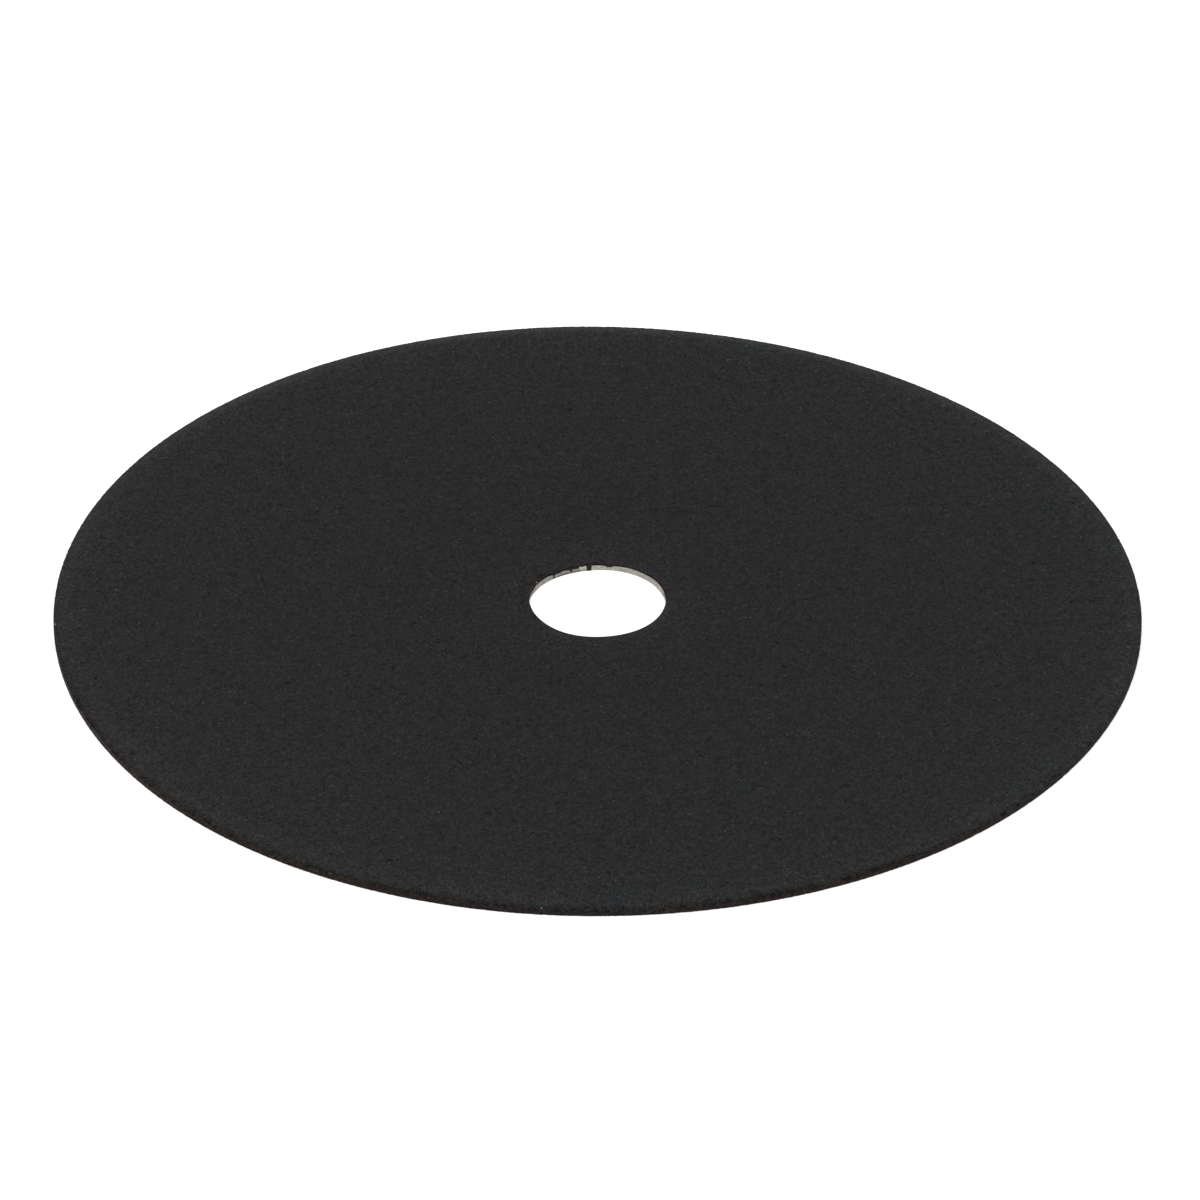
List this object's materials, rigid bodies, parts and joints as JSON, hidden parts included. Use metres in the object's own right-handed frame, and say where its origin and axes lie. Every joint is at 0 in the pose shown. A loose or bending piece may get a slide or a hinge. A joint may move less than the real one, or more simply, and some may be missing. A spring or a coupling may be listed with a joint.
{
  "type": "cut off wheel",
  "caption": "Thin flat disc of black bonded abrasive for cutting off, with a plain round arbor hole lined by a pale rolled strip ring.",
  "frame": {"origin": "centre of the arbor hole, on the wheel's lower face", "axes": "+Z along the wheel's axis, from the lower face to the upper face"},
  "size_m": [0.254, 0.254, 0.0016],
  "materials": {
    "abrasive": "matte black abrasive grain in a cured bond, with a sandy surface",
    "strip": "dull, unpolished warm grey strip"
  },
  "bodies": {
    "root": {"abrasive_disc": "abrasive", "arbor_ring": "strip"}
  },
  "joints": []
}
